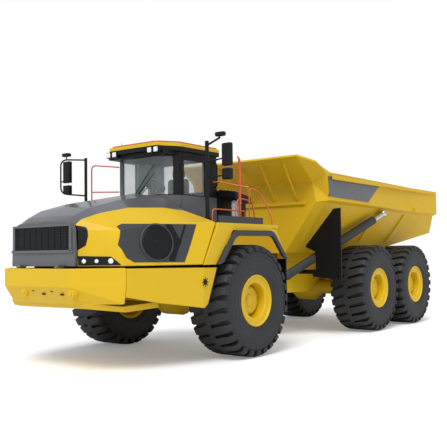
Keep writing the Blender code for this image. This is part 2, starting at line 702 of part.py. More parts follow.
def hood():
    rows = [[(ahead(x), y, tyre_up(z)) for x, y, z in row] for row in HOOD_STATIONS]
    skin = shell("hood", rows, SHELL)
    pivot(skin, HOOD_HINGE)
    front = ahead(3.19) + GAP
    face = [(y, z) for x, y, z in reversed(HOOD_STATIONS[0]) if y > 0]
    points = [(y, tyre_up(z)) for y, z in face] + [(-y, tyre_up(z)) for y, z in face[::-1]]
    panel = outline("grille", "front", points, front, front + 0.06, "black_steel")
    x, _, z = HOOD_HINGE
    for side, sign in SIDES:
        near, far = sorted((sign * 0.46, sign * 0.54))
        leaf = box(f"hood_leaf_{side}", (front + 0.03, near, z - HINGE_RADIUS * 0.9),
                   (x, far, z + 0.04))
        knuckle = bar(f"hood_knuckle_{side}", (x, near, z), (x, far, z), HINGE_RADIUS, sides=12)
        unite(panel, leaf, knuckle)
    pivot(panel, HOOD_HINGE)


# ---- cab ----
CAB_REAR = -0.38
CAB_NOSE = 1.00
PILLAR_X = 0.74
DOOR_REAR = -0.06


def cab_plan(inset):
    """Half-width outline of the cab in plan, drawn in by a wall."""
    return [(ahead(CAB_REAR + inset), CAB_HALF - inset), (ahead(PILLAR_X - inset * 0.3), CAB_HALF - inset),
            (ahead(CAB_NOSE - inset), 0.42), (ahead(CAB_NOSE - inset), -0.42),
            (ahead(PILLAR_X - inset * 0.3), inset - CAB_HALF), (ahead(CAB_REAR + inset), inset - CAB_HALF)]


def cab():
    floor = tyre_up(CAB_FLOOR)
    sill = tyre_up(SILL)
    header = tyre_up(HEADER)
    roof = tyre_up(ROOF_LOW)
    body = outline("cab_shell", "plan", cab_plan(0), floor, roof, "grey_paint")
    room = outline("cab_room", "plan", cab_plan(CAB_WALL), floor + CAB_WALL, roof - CAB_WALL)
    door_low = floor + 0.10
    wide = CAB_HALF + 0.1
    openings = [
        outline("screen_cut", "plan", [(ahead(0.66), 0.70), (ahead(1.3), 0.70), (ahead(1.3), -0.70),
                                       (ahead(0.66), -0.70)], sill, header),
        box("rear_cut", (ahead(CAB_REAR - 0.1), -0.62, sill), (ahead(CAB_REAR + 0.1), 0.62, header)),
        box("right_cut_1", (ahead(0.32), -wide, sill), (ahead(0.66), -0.7, header)),
        box("right_cut_2", (ahead(DOOR_REAR), -wide, sill), (ahead(0.24), -0.7, header)),
        box("door_cut", (ahead(DOOR_REAR), 0.7, door_low), (ahead(0.68), wide, header)),
    ]
    cut(body, room, *openings)
    roof_plate()
    glazing(sill, header)
    door(door_low, sill, header)
    interior(floor)


def roof_plate():
    low = tyre_up(ROOF_LOW) + GAP
    plan = [(ahead(CAB_REAR - 0.04), 0.84), (ahead(0.75), 0.86), (ahead(1.18), 0.62)]
    points = plan + [(x, -y) for x, y in plan[::-1]]
    outline("cab_roof", "plan", points, low, low + 0.15, "yellow_paint")


def glazing(sill, header):
    """Fixed panes, each set inside its opening's edge."""
    half = CAB_WALL / 2
    edge = GAP
    box("rear_window", (ahead(CAB_REAR + half - GLASS), -0.62 + edge, sill + edge),
        (ahead(CAB_REAR + half), 0.62 - edge, header - edge), "tinted_glass")
    box("side_window_right", (ahead(0.32) + edge, half - CAB_HALF - GLASS, sill + edge),
        (ahead(0.66) - edge, half - CAB_HALF, header - edge), "tinted_glass")
    box("side_window_right_rear", (ahead(DOOR_REAR) + edge, half - CAB_HALF - GLASS, sill + edge),
        (ahead(0.24) - edge, half - CAB_HALF, header - edge), "tinted_glass")
    outer = cab_plan(0.02)[1:5]
    inner = cab_plan(0.02 + GLASS)[1:5]
    outer = [(x, min(max(y, -0.70 + edge), 0.70 - edge)) for x, y in outer]
    inner = [(x, min(max(y, -0.70 + edge), 0.70 - edge)) for x, y in inner]
    outline("windshield", "plan", outer + inner[::-1], sill + edge, header - edge, "tinted_glass")


DOOR_GAP = 0.006
DOOR_HINGE = (ahead(0.71), CAB_HALF + 0.0123)


def door(low, sill, header):
    """Front-hinged door; its knuckles lie against the pillar's outer face."""
    inner = CAB_HALF - CAB_WALL
    proud = CAB_HALF + 0.004
    leaf = box("cab_door", (ahead(DOOR_REAR) + DOOR_GAP, inner, low + DOOR_GAP),
               (ahead(0.68) - DOOR_GAP, proud, header - DOOR_GAP), "grey_paint")
    x, y = DOOR_HINGE
    for i, height in enumerate((low + 0.15, header - 0.25)):
        strap = box(f"door_strap_{i}", (ahead(0.63), CAB_HALF + 0.001, height), (x, y + 0.01, height + 0.08))
        knuckle = bar(f"door_knuckle_{i}", (x, y, height - 0.01), (x, y, height + 0.09), 0.012, sides=8)
        unite(leaf, strap, knuckle)
    hole = box("door_window_cut", (ahead(DOOR_REAR + 0.06), inner - 0.1, sill),
               (ahead(0.62), CAB_HALF + 0.1, header - 0.07))
    cut(leaf, hole)
    pane = box("door_glass", (ahead(DOOR_REAR + 0.06) + GAP, CAB_HALF - 0.03, sill + GAP),
               (ahead(0.62) - GAP, CAB_HALF - 0.03 + GLASS, header - 0.07 - GAP), "tinted_glass")
    for piece in (leaf, pane):
        pivot(piece, (x, y, low))


def interior(floor):
    base = floor + CAB_WALL + GAP
    seat = box("driver_seat", (ahead(-0.12), -0.26, base), (ahead(0.38), 0.26, base + 0.42), "seat_fabric")
    back = box("seat_back", (ahead(-0.20), -0.24, base + 0.2), (ahead(-0.06), 0.24, base + 1.05))
    unite(seat, back)
    column = bar("steering_column", (ahead(0.79), 0, base), (ahead(0.79), 0, base + 0.12), 0.07,
                 "black_steel", sides=8)
    stalk = bar("steering_stalk", (ahead(0.79), 0, base + 0.05), (ahead(0.56), 0, base + 0.70), 0.05,
                sides=8)
    wheel = bar("steering_wheel", (ahead(0.57), 0, base + 0.67), (ahead(0.55), 0, base + 0.71), 0.21,
                sides=16)
    unite(column, stalk, wheel)


# ---- deck fittings ----
def handrails():
    deck = tyre_up(DECK_TOP) + GAP
    loops = (   # name, tube routes as (ahead, half-width, height over tyre tops)
        ("left", ((0.05, 1.70, None), (0.05, 1.70, 1.60), (0.0, 1.60, 1.66), (-0.45, 1.30, 1.70),
                  (-0.45, 1.30, None))),
        ("right", ((0.78, 1.60, None), (0.78, 1.60, 1.70), (0.60, 1.20, 1.62), (0.60, 1.20, None))),
    )
    for side, sign in SIDES:
        route = dict(loops)[side]
        points = [(ahead(x), sign * y, deck if z is None else tyre_up(z)) for x, y, z in route]
        tube(f"handrail_{side}", points, 0.022)
        route = ((-0.84, 1.80, None), (-0.84, 1.80, 0.48), (-0.80, 1.72, 0.75), (-0.70, 1.60, 1.03),
                 (-0.50, 1.50, 1.12),
                 (-0.50, 1.50, None))
        points = [(ahead(x), sign * y, deck if z is None else tyre_up(z)) for x, y, z in route]
        tube(f"step_rail_{side}", points, 0.022)


def mirrors():
    deck = tyre_up(DECK_TOP) + GAP
    for side, sign in SIDES:
        y = sign * 1.62
        x = ahead(0.90)
        post = bar(f"mirror_{side}", (x, y, deck), (x, y, tyre_up(1.83)), 0.035, "black_steel", sides=8)
        arms = [tube(f"mirror_arm_{i}_{side}", [(x, y, tyre_up(h)), (x, sign * 1.97, tyre_up(h))], 0.02)
                for i, h in enumerate((1.06, 1.78))]
        near, far = sorted((sign * 1.88, sign * 2.04))
        head = box(f"mirror_head_{side}", (x - 0.04, near, tyre_up(1.04)), (x + 0.04, far, tyre_up(1.80)))
        unite(post, *arms, head)


def service_gear():
    """Air cleaner and exhaust on the deck behind the cab."""
    frame_top = axle_up(FRONT_RAIL_TOP) + GAP
    stack = box("exhaust_and_cleaner", (ahead(-0.95), -0.78, tyre_up(0.30)),
                (ahead(-0.46), 0.78, tyre_up(1.10)), "black_steel")
    legs = [box(f"gear_leg_{side}", *zip(*[sorted(pair) for pair in (
        (ahead(-0.90), ahead(-0.78)), (sign * 0.44, sign * 0.56), (frame_top, tyre_up(0.35)))]))
        for side, sign in SIDES]
    unite(stack, *legs)


wheels()
axles()
bogie_beams()
front_frame()
engine()
hitch_yoke()
rear_frame()
mudguards()
dump_bed()
cylinders()
bumper()
skirts()
fenders()
hood()
cab()
handrails()
mirrors()
service_gear()
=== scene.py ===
"""Articulated six-wheel hauler: finished surfaces and fittings around its working frame."""
import json
import math

import bmesh
import bpy
from mathutils import Matrix, Vector
from mathutils.bvhtree import BVHTree


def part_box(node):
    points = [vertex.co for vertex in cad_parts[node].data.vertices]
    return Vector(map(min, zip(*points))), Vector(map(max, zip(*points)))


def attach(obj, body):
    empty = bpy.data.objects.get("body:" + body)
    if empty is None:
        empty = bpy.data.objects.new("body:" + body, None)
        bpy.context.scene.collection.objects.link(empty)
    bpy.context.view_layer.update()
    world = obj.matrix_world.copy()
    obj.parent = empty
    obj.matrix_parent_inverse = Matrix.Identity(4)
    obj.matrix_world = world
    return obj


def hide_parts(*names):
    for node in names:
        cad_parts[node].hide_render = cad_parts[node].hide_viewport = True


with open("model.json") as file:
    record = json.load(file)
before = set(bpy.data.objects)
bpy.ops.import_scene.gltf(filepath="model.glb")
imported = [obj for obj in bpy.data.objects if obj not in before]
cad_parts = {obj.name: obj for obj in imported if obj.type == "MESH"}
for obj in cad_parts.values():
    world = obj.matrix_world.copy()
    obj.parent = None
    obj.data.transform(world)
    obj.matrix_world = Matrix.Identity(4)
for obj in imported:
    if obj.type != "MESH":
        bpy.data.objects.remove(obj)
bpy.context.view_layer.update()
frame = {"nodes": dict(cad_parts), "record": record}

# ---- driving dimensions, taken from the frame (metres) ----
LEFT, RIGHT = 1, -1
SIDES = (("left", LEFT), ("right", RIGHT))
TYRE_LOW, TYRE_HIGH = (Vector(corner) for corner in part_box("front_left_tyre"))
FRONT_AXLE_X = (TYRE_LOW.x + TYRE_HIGH.x) / 2
TYRE_RADIUS = (TYRE_HIGH.z - TYRE_LOW.z) / 2
MID_TYRE_LOW, MID_TYRE_HIGH = (Vector(corner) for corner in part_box("middle_left_tyre"))
MID_AXLE_X = (MID_TYRE_LOW.x + MID_TYRE_HIGH.x) / 2
BODY_OF = {node: body for body, nodes in frame["record"]["behaviour"]["bodies"].items()
           for node in nodes}


def ahead(distance):
    """X of a place that far ahead of the front axle."""
    return FRONT_AXLE_X + distance


def mid(distance):
    """X of a place that far ahead of the middle axle."""
    return MID_AXLE_X + distance


def tyre_up(height):
    """Z of a height above the tops of the tyres."""
    return 2 * TYRE_RADIUS + height


# ---- materials ----
def linear(code):
    """An sRGB hex colour as linear RGBA."""
    channels = [int(code[i:i + 2], 16) / 255 for i in (1, 3, 5)]
    return [c / 12.92 if c <= 0.04045 else ((c + 0.055) / 1.055) ** 2.4 for c in channels] + [1]


def add_node(material, kind, settings=(), links=()):
    """A shader node with its settings and the sockets that feed it."""
    tree = material.node_tree
    made = tree.nodes.new(kind)
    for key, value in dict(settings).items():
        if key in made.inputs:
            made.inputs[key].default_value = value
        else:
            setattr(made, key, value)
    for key, source in dict(links).items():
        tree.links.new(source, made.inputs[key])
    return made


def new_material(name):
    material = bpy.data.materials.new(name)
    material.use_nodes = True
    material.node_tree.nodes.clear()
    return material


def close(material, shader):
    add_node(material, "ShaderNodeOutputMaterial", links={"Surface": shader.outputs[0]})
    return material


def speckled(material, code, share, scale, detail=4.0):
    """A colour broken up by a faint noise, darker by a share."""
    place = add_node(material, "ShaderNodeTexCoord")
    noise = add_node(material, "ShaderNodeTexNoise", {"Scale": scale, "Detail": detail},
                     {"Vector": place.outputs["Object"]})
    base = linear(code)
    dark = [c * (1 - share) for c in base[:3]] + [1]
    mix = add_node(material, "ShaderNodeMix", {"data_type": "RGBA"},
                   {"Factor": noise.outputs["Fac"]})
    mix.inputs["A"].default_value = dark
    mix.inputs["B"].default_value = base
    return place, mix.outputs["Result"]


# what the eye takes for clear coat is a thin smooth layer of this roughness
COAT_ROUGHNESS = 0.08
RELIEF_DEPTH = 0.002


def surface(name, code, roughness, metallic=0.0, share=0.10, scale=3.0, bump=0.0, grain=200.0,
            coat=0.0, glint=0.5):
    """A painted, moulded or bare surface with faint tone and a fine relief."""
    material = new_material(name)
    place, colour = speckled(material, code, share, scale)
    settings = {"Roughness": roughness, "Metallic": metallic, "Coat Weight": coat,
                "Coat Roughness": COAT_ROUGHNESS, "Specular IOR Level": glint}
    links = {"Base Color": colour}
    if bump:
        fine = add_node(material, "ShaderNodeTexNoise", {"Scale": grain, "Detail": 2.0},
                        {"Vector": place.outputs["Object"]})
        relief = add_node(material, "ShaderNodeBump", {"Strength": bump, "Distance": RELIEF_DEPTH},
                          {"Height": fine.outputs["Fac"]})
        links["Normal"] = relief.outputs["Normal"]
    return close(material, add_node(material, "ShaderNodeBsdfPrincipled", settings, links))


# two-coat sprayed enamel: even warm yellow under a soft clear gloss
YELLOW = surface("sprayed_yellow_enamel", "#E0B71C", 0.42, share=0.05, scale=1.5,
                 bump=0.03, grain=160, glint=0.28)
# sprayed steel plate of the bed: the same yellow, a little duller
BED_YELLOW = surface("sprayed_bed_plate_enamel", "#DEB318", 0.5, share=0.06, scale=1.2,
                     bump=0.04, grain=120, glint=0.28)
# clear-coated grey enamel: mid grey that takes long bright reflections of the sky
GREY = surface("gloss_grey_enamel", "#5B5C60", 0.30, coat=0.45, share=0.06, bump=0.02)
# powder-coated steel: near black, no gloss
BLACK = surface("powder_coated_black_steel", "#0E0E0F", 0.5, share=0.15, bump=0.08, glint=0.3)
# moulded polyurethane flares and trims: charcoal with a fine grain
TRIM = surface("moulded_charcoal_polyurethane", "#3A3B3E", 0.6, share=0.12, bump=0.15, grain=300)
# vulcanised rubber: charcoal, matte, with dust in the grain
RUBBER = surface("vulcanised_tyre_rubber", "#2B2B2D", 0.62, share=0.3, scale=7, bump=0.35, grain=90)
# sprayed orange enamel on bent tube
ORANGE = surface("sprayed_orange_enamel", "#D9622E", 0.4, coat=0.2)
# hard-chromed ground steel: mirror bright
CHROME = surface("hard_chromed_steel", "#D2D2D4", 0.12, metallic=1.0, share=0.02)
# woven seat cloth
CLOTH = surface("woven_seat_cloth", "#26262A", 0.95, share=0.3, scale=60, bump=0.5, grain=600)
# sprayed wheel enamel: a lighter, warmer yellow
RIM_YELLOW = surface("sprayed_wheel_enamel", "#E2BA1A", 0.4, share=0.06, bump=0.03,
                     glint=0.3)

# moulded cab lining: light grey and matte, so that the cab reads through its glass
LINING = surface("moulded_grey_cab_lining", "#B4B5B8", 0.7, share=0.08, bump=0.1, grain=300)
# clear polycarbonate lens over a bright bowl, painted nearly white: a painted reflection of that
# bowl
LENS = surface("lens_with_painted_reflection", "#F2F4F5", 0.08, coat=0.5, share=0.02)


def glass_material(name, code, opacity):
    """A thin tinted pane: partly open to the eye and to light, with a hard reflection."""
    material = new_material(name)
    return close(material, add_node(material, "ShaderNodeBsdfPrincipled", {
        "Base Color": linear(code), "Roughness": 0.03, "Alpha": opacity}))


# tinted laminated glass: lets the cab show through, greyed
GLASS = glass_material("tinted_laminated_glass", "#B4BCBF", 0.20)
# sprayed filter cans: pale grey with a soft gloss
CAN = surface("sprayed_pale_grey_can", "#C9CACB", 0.35, coat=0.2, share=0.05)


# ---- meshes ----
def piece(bm, name, material, body, replaces=(), bevel=0.0, segments=2, angle=40, crease=35):
    """A finished object from a bmesh, riding on its body."""
    bmesh.ops.remove_doubles(bm, verts=bm.verts, dist=1e-5)
    bmesh.ops.recalc_face_normals(bm, faces=bm.faces)
    mesh = bpy.data.meshes.new(name)
    bm.to_mesh(mesh)
    bm.free()
    made = bpy.data.objects.new(name, mesh)
    bpy.context.scene.collection.objects.link(made)
    for each in (material if isinstance(material, (list, tuple)) else [material]):
        mesh.materials.append(each)
    mesh.set_sharp_from_angle(angle=math.radians(crease))
    for face in mesh.polygons:
        face.use_smooth = True
    if bevel:
        rounded = made.modifiers.new("rounded edges", "BEVEL")
        rounded.width = bevel
        rounded.segments = segments
        rounded.limit_method = "ANGLE"
        rounded.angle_limit = math.radians(angle)
        rounded.harden_normals = True
    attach(made, body)
    if replaces:
        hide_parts(*replaces)
    return made


def node_mesh(node):
    """A merged copy of one of the frame's nodes."""
    bm = bmesh.new()
    bm.from_mesh(frame["nodes"][node].data)
    bmesh.ops.remove_doubles(bm, verts=bm.verts, dist=1e-5)
    bmesh.ops.dissolve_limit(bm, angle_limit=math.radians(0.5), verts=bm.verts, edges=bm.edges)
    return bm


def slice_at(bm, place, normal, clear=False):
    """Split every face along a plane, and drop what lies beyond it if asked."""
    bmesh.ops.bisect_plane(bm, geom=bm.verts[:] + bm.edges[:] + bm.faces[:], plane_co=place,
                           plane_no=normal, clear_outer=clear)


def skin(node, materials, bevel=0.006, segments=2, cuts=(), pick=None, angle=40, crease=35):
    """The frame's node with its edges softened and its faces painted."""
    bm = node_mesh(node)
    for place, normal in cuts:
        slice_at(bm, place, normal)
    if pick:
        for face in bm.faces:
            face.material_index = pick(face)
    return piece(bm, f"{node}_finish", materials, BODY_OF[node], (node,), bevel, segments, angle,
                 crease)


def block(bm, low, high):
    """A box between two corners."""
    low, high = Vector(low), Vector(high)
    made = bmesh.ops.create_cube(bm, size=1)["verts"]
    bmesh.ops.scale(bm, vec=high - low, verts=made)
    bmesh.ops.translate(bm, vec=(high + low) / 2, verts=made)
    return made


def rod(bm, start, end, radius, tip=None, steps=16):
    """A straight round bar or a cone between two places."""
    start, end = Vector(start), Vector(end)
    made = bmesh.ops.create_cone(bm, cap_ends=True, segments=steps, radius1=radius,
                                 radius2=radius if tip is None else tip,
                                 depth=(end - start).length)["verts"]
    turn = Vector((0, 0, 1)).rotation_difference(end - start).to_matrix()
    bmesh.ops.rotate(bm, cent=(0, 0, 0), matrix=turn, verts=made)
    bmesh.ops.translate(bm, vec=(start + end) / 2, verts=made)
    return made


def bent_tube(name, points, radius, material, body, bend=0.08, replaces=()):
    """A round tube along a route, with its corners bent."""
    points = [Vector(point) for point in points]
    route = [points[0]]
    for before, corner, after in zip(points, points[1:], points[2:]):
        back = (before - corner)
        on = (after - corner)
        reach = min(bend, back.length * 0.45, on.length * 0.45)
        first = corner + back.normalized() * reach
        last = corner + on.normalized() * reach
        for step in range(6):
            t = step / 5
            route.append(first.lerp(corner, t).lerp(corner.lerp(last, t), t))
    route.append(points[-1])
    curve = bpy.data.curves.new(name, "CURVE")
    curve.dimensions = "3D"
    curve.bevel_depth = radius
    curve.bevel_resolution = 3
    curve.use_fill_caps = True
    spline = curve.splines.new("POLY")
    spline.points.add(len(route) - 1)
    for point, place in zip(spline.points, route):
        point.co = (*place, 1)
    holder = bpy.data.objects.new(name, curve)
    bm = bmesh.new()
    bm.from_mesh(holder.to_mesh())
    bpy.data.objects.remove(holder)
    return piece(bm, name, material, body, replaces)


def touch(node, x, z, side):
    """Where a line drawn inward at that X and Z meets the node, and its outward normal."""
    mesh = frame["nodes"][node].data
    tree = BVHTree.FromPolygons([v.co for v in mesh.vertices],
                                [face.vertices for face in mesh.polygons])
    place, normal, _, _ = tree.ray_cast(Vector((x, side * 5, z)), Vector((0, -side, 0)))
    return place, normal


def patch(name, node, points, lift, material, side, thick=0.006, bevel=0.0, facing=0.2):
    """A thin plate on the node's side, within a convex outline of (X, Z)."""
    bm = node_mesh(node)
    bmesh.ops.delete(bm, geom=[face for face in bm.faces if face.normal.y * side < facing],
                     context="FACES")
    middle = sum((Vector((x, 0, z)) for x, z in points), Vector()) / len(points)
    for (x0, z0), (x1, z1) in zip(points, points[1:] + points[:1]):
        normal = Vector((z1 - z0, 0, x0 - x1))
        if normal.dot(middle - Vector((x0, 0, z0))) > 0:
            normal = -normal
        slice_at(bm, (x0, 0, z0), normal, clear=True)
    bmesh.ops.dissolve_limit(bm, angle_limit=math.radians(1), verts=bm.verts, edges=bm.edges)
    bmesh.ops.translate(bm, vec=(0, side * (lift - thick), 0), verts=bm.verts)
    grown = bmesh.ops.extrude_face_region(bm, geom=bm.faces[:])["geom"]
    bmesh.ops.translate(bm, vec=(0, side * thick, 0),
                        verts=[v for v in grown if isinstance(v, bmesh.types.BMVert)])
    return piece(bm, name, material, BODY_OF[node], bevel=bevel)


def revolve(bm, profile, centre, steps=64):
    """A closed ring from a profile of (along Y, radius)."""
    verts = [bm.verts.new((centre.x, centre.y + y, centre.z + r)) for y, r in profile]
    edges = [bm.edges.new((verts[i], verts[(i + 1) % len(verts)])) for i in range(len(verts))]
    bmesh.ops.spin(bm, geom=verts + edges, cent=centre, axis=(0, 1, 0), angle=2 * math.pi,
                   steps=steps, use_merge=True)


# ---- wheels ----
LUG_DEPTH = 0.075
LUGS = 28                     # tread blocks on each half of a tyre
LUG_LEAN = 0.30               # how far a block leans round the tyre for its run across
LUG_SHOULDER = 0.33           # out from the tyre's middle, where that lean ends
TREAD_RADIUS = TYRE_RADIUS - LUG_DEPTH
CASING = (   # out from the tyre's middle, radius
    (0.0, TREAD_RADIUS), (0.30, TREAD_RADIUS - 0.012), (0.385, TREAD_RADIUS - 0.04),
    (0.408, 0.890), (0.414, 0.846), (0.423, 0.838), (0.423, 0.826), (0.416, 0.818),
    (0.418, 0.806), (0.423, 0.800), (0.418, 0.794), (0.419, 0.712), (0.424, 0.706),
    (0.424, 0.696), (0.419, 0.690), (0.417, 0.640), (0.408, 0.600), (0.412, 0.585),
    (0.395, 0.540), (0.380, 0.500), (0.375, 0.462), (0.34, 0.455))
LUG_OUTLINE = (   # out from the tyre's middle, radius, half the block's length round the tyre
    (-0.05, TREAD_RADIUS - 0.02, 0.090), (-0.05, TYRE_RADIUS - 0.002, 0.084),
    (0.26, TYRE_RADIUS - 0.004, 0.082), (0.35, TYRE_RADIUS - 0.010, 0.068),
    (0.400, TYRE_RADIUS - 0.034, 0.064), (0.424, TYRE_RADIUS - 0.080, 0.062),
    (0.421, TYRE_RADIUS - 0.128, 0.064), (0.36, TREAD_RADIUS - 0.06, 0.068))
RIM_FACE = (   # out from the wheel's middle, radius: lip, flat ring, deep bore, hub drum
    (0.387, 0.471), (0.392, 0.455), (0.378, 0.440), (0.360, 0.432), (0.355, 0.360),
    (0.352, 0.335), (0.335, 0.320), (0.10, 0.315), (0.06, 0.300), (0.06, 0.262),
    (0.19, 0.258), (0.215, 0.245), (0.218, 0.120), (0.235, 0.110), (0.240, 0.0))
RIM_BACK = (   # out from the wheel's middle, radius: hub seat, inner cone, tyre bed
    (0.02, 0.0), (0.02, 0.30), (-0.10, 0.38), (-0.36, 0.42), (-0.387, 0.471),
    (-0.36, 0.475), (-0.33, 0.455), (0.33, 0.455), (0.365, 0.476))
BOLT_RINGS = (   # count, ring's radius, seat out from the wheel's middle, bolt's radius, height
    (6, 0.385, 0.355, 0.010, 0.02), (16, 0.222, 0.214, 0.012, 0.022),
    (8, 0.075, 0.234, 0.010, 0.014))
AXLE_NAMES = ("front", "middle", "rear")


def tyre_profile(side):
    """The casing's whole section, outer side first."""
    outer = [(side * y, r) for y, r in CASING]
    inner = [(-side * y, r) for y, r in CASING[:0:-1]]
    return outer + inner


def lug(bm, centre, side, turn):
    """One leaning tread block from the middle of the tread over the shoulder."""
    ends = []
    for way in (-1, 1):
        ring = []
        for y, r, half_long in LUG_OUTLINE:
            lean = LUG_LEAN * (LUG_SHOULDER - min(y, LUG_SHOULDER)) * side
            angle = (way * half_long + lean) / TYRE_RADIUS + turn
            ring.append(bm.verts.new((centre.x + r * math.sin(angle), centre.y + side * y,
                                      centre.z + r * math.cos(angle))))
        ends.append(ring)
    bm.faces.new(ends[0])
    bm.faces.new(ends[1][::-1])
    for i in range(len(LUG_OUTLINE)):
        j = (i + 1) % len(LUG_OUTLINE)
        bm.faces.new((ends[0][i], ends[1][i], ends[1][j], ends[0][j]))


def tyre(name, side_name, side, centre):
    bm = bmesh.new()
    revolve(bm, tyre_profile(side), centre, 84)
    pitch = 2 * math.pi / LUGS
    for i in range(LUGS):
        lug(bm, centre, 1, i * pitch)
        lug(bm, centre, -1, (i + 0.5) * pitch)
    node = f"{name}_{side_name}_tyre"
    made = piece(bm, f"{node}_tread", RUBBER, BODY_OF[node], (node,), 0.008, 2, 35)


def rim(name, side_name, side, centre):
    bm = bmesh.new()
    verts = [bm.verts.new((centre.x, centre.y + side * y, centre.z + r))
             for y, r in RIM_FACE + RIM_BACK]
    edges = [bm.edges.new((a, b)) for a, b in zip(verts, verts[1:] + verts[:1])
             if a is not verts[len(RIM_FACE) - 1]]
    bmesh.ops.spin(bm, geom=verts + edges, cent=centre, axis=(0, 1, 0), angle=2 * math.pi,
                   steps=64, use_merge=True)
    for count, ring, seat, radius, height in BOLT_RINGS:
        for i in range(count):
            angle = 2 * math.pi * i / count
            made = bmesh.ops.create_cone(bm, cap_ends=True, segments=6, radius1=radius,
                                         radius2=radius, depth=height)["verts"]
            bmesh.ops.rotate(bm, cent=(0, 0, 0), matrix=Matrix.Rotation(math.pi / 2, 3, "X"),
                             verts=made)
            bmesh.ops.translate(bm, verts=made, vec=(
                centre.x + ring * math.cos(angle), centre.y + side * (seat + height / 2 - 0.002),
                centre.z + ring * math.sin(angle)))
    node = f"{name}_{side_name}_rim"
    piece(bm, f"{node}_finish", RIM_YELLOW, BODY_OF[node], (node,), 0.004, 2, 45)


for axle_name in AXLE_NAMES:
    for side_name, side in SIDES:
        low, high = (Vector(c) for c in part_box(f"{axle_name}_{side_name}_tyre"))
        tyre(axle_name, side_name, side, (low + high) / 2)
        rim(axle_name, side_name, side, (low + high) / 2)

# ---- frame pieces that keep their shape ----
PLAIN = (   # node, material, edge rounding
    ("front_frame", BLACK, 0.01), ("rear_frame", YELLOW, 0.01), ("hitch_yoke", BLACK, 0.01),
    ("engine_block", BLACK, 0.02), ("front_axle", YELLOW, 0.01), ("middle_axle", YELLOW, 0.01),
    ("rear_axle", YELLOW, 0.01), ("bogie_beam_left", YELLOW, 0.015),
    ("bogie_beam_right", YELLOW, 0.015), ("mudguard_left", BLACK, 0.006),
    ("mudguard_right", BLACK, 0.006), ("mudflap_left", BLACK, 0.004),
    ("mudflap_right", BLACK, 0.004), ("front_bumper", YELLOW, 0.02),
    ("side_skirt_left", YELLOW, 0.012), ("side_skirt_right", YELLOW, 0.012),
    ("fender_left", YELLOW, 0.012), ("fender_right", YELLOW, 0.012),
    ("steering_column", BLACK, 0.008), ("hoist_barrel_left", TRIM, 0.006),
    ("hoist_barrel_right", TRIM, 0.006), ("hoist_rod_left", CHROME, 0.004),
    ("hoist_rod_right", CHROME, 0.004), ("steering_barrel_left", BLACK, 0.004),
    ("steering_barrel_right", BLACK, 0.004), ("steering_rod_left", CHROME, 0.003),
    ("steering_rod_right", CHROME, 0.003), ("windshield", GLASS, 0), ("rear_window", GLASS, 0),
    ("side_window_right", GLASS, 0), ("side_window_right_rear", GLASS, 0), ("door_glass", GLASS, 0),
)
for node, material, bevel in PLAIN:
    skin(node, material, bevel)

# ---- arch flares: their corners rounded ----
FLARE_ROUND = 0.16
for side_name, side in SIDES:
    bm = node_mesh(f"arch_flare_{side_name}")
    corners = [edge for edge in bm.edges
               if abs((edge.verts[0].co - edge.verts[1].co).normalized().y) > 0.9
               and len(edge.link_faces) == 2 and 0.3 < edge.calc_face_angle() < 1.3]
    bmesh.ops.bevel(bm, geom=corners, offset=FLARE_ROUND, segments=6, profile=0.5, affect="EDGES",
                    clamp_overlap=True)
    piece(bm, f"arch_flare_{side_name}_finish", TRIM, BODY_OF[f"arch_flare_{side_name}"],
          (f"arch_flare_{side_name}",), 0.010, angle=50)

# ---- hood ----
PEAK = ahead(2.78)            # where the grey top is narrowest between its nose and the cab
PEAK_HALF = 0.90


def shoulder(x):
    """Half-width of the line between the grey hood top and its yellow sides."""
    back = PEAK - x
    return PEAK_HALF + back * (0.26 if back > 0 else 0.35)


def hood_paint(face):
    centre = face.calc_center_median()
    return 1 if abs(centre.y) < shoulder(centre.x) and face.normal.z > 0.2 else 0


skin("hood", (YELLOW, GREY), 0.035, 3, pick=hood_paint, angle=6)
skin("grille", GREY, 0.015, 3)
INTAKE = (ahead(2.19), 2.09, 0.285)      # X, Z and radius of the round side intake
INTAKE_RINGS = (0.96, 0.84, 0.72, 0.60, 0.48, 0.36, 0.24)   # shares of its radius
OPENING = [(ahead(x), z) for x, z in (
    (2.83, 2.05), (2.775, 2.35), (2.66, 2.395), (1.40, 2.40), (1.72, 1.765), (2.62, 1.775),
    (2.74, 1.85))]
WEDGE = [(ahead(x), z) for x, z in (
    (1.99, 2.39), (1.88, 2.39), (1.74, 2.10), (1.93, 1.78), (2.00, 1.78))]
STRIPE = [(ahead(x), z) for x, z in ((1.645, 2.39), (1.61, 2.39), (1.905, 1.775), (1.94, 1.775))]
EYE = [(ahead(x), z) for x, z in (
    (3.18, 2.37), (3.08, 2.345), (3.08, 2.20), (3.11, 2.05), (3.18, 1.98))]
LAMP_PANEL = [(ahead(x), z) for x, z in (
    (3.185, 1.885), (2.90, 1.87), (2.85, 1.79), (2.82, 1.735), (3.185, 1.735))]
LAMPS = ((2.90, 1.80, 0.048), (3.02, 1.80, 0.036), (3.13, 1.80, 0.040))   # ahead, Z, radius
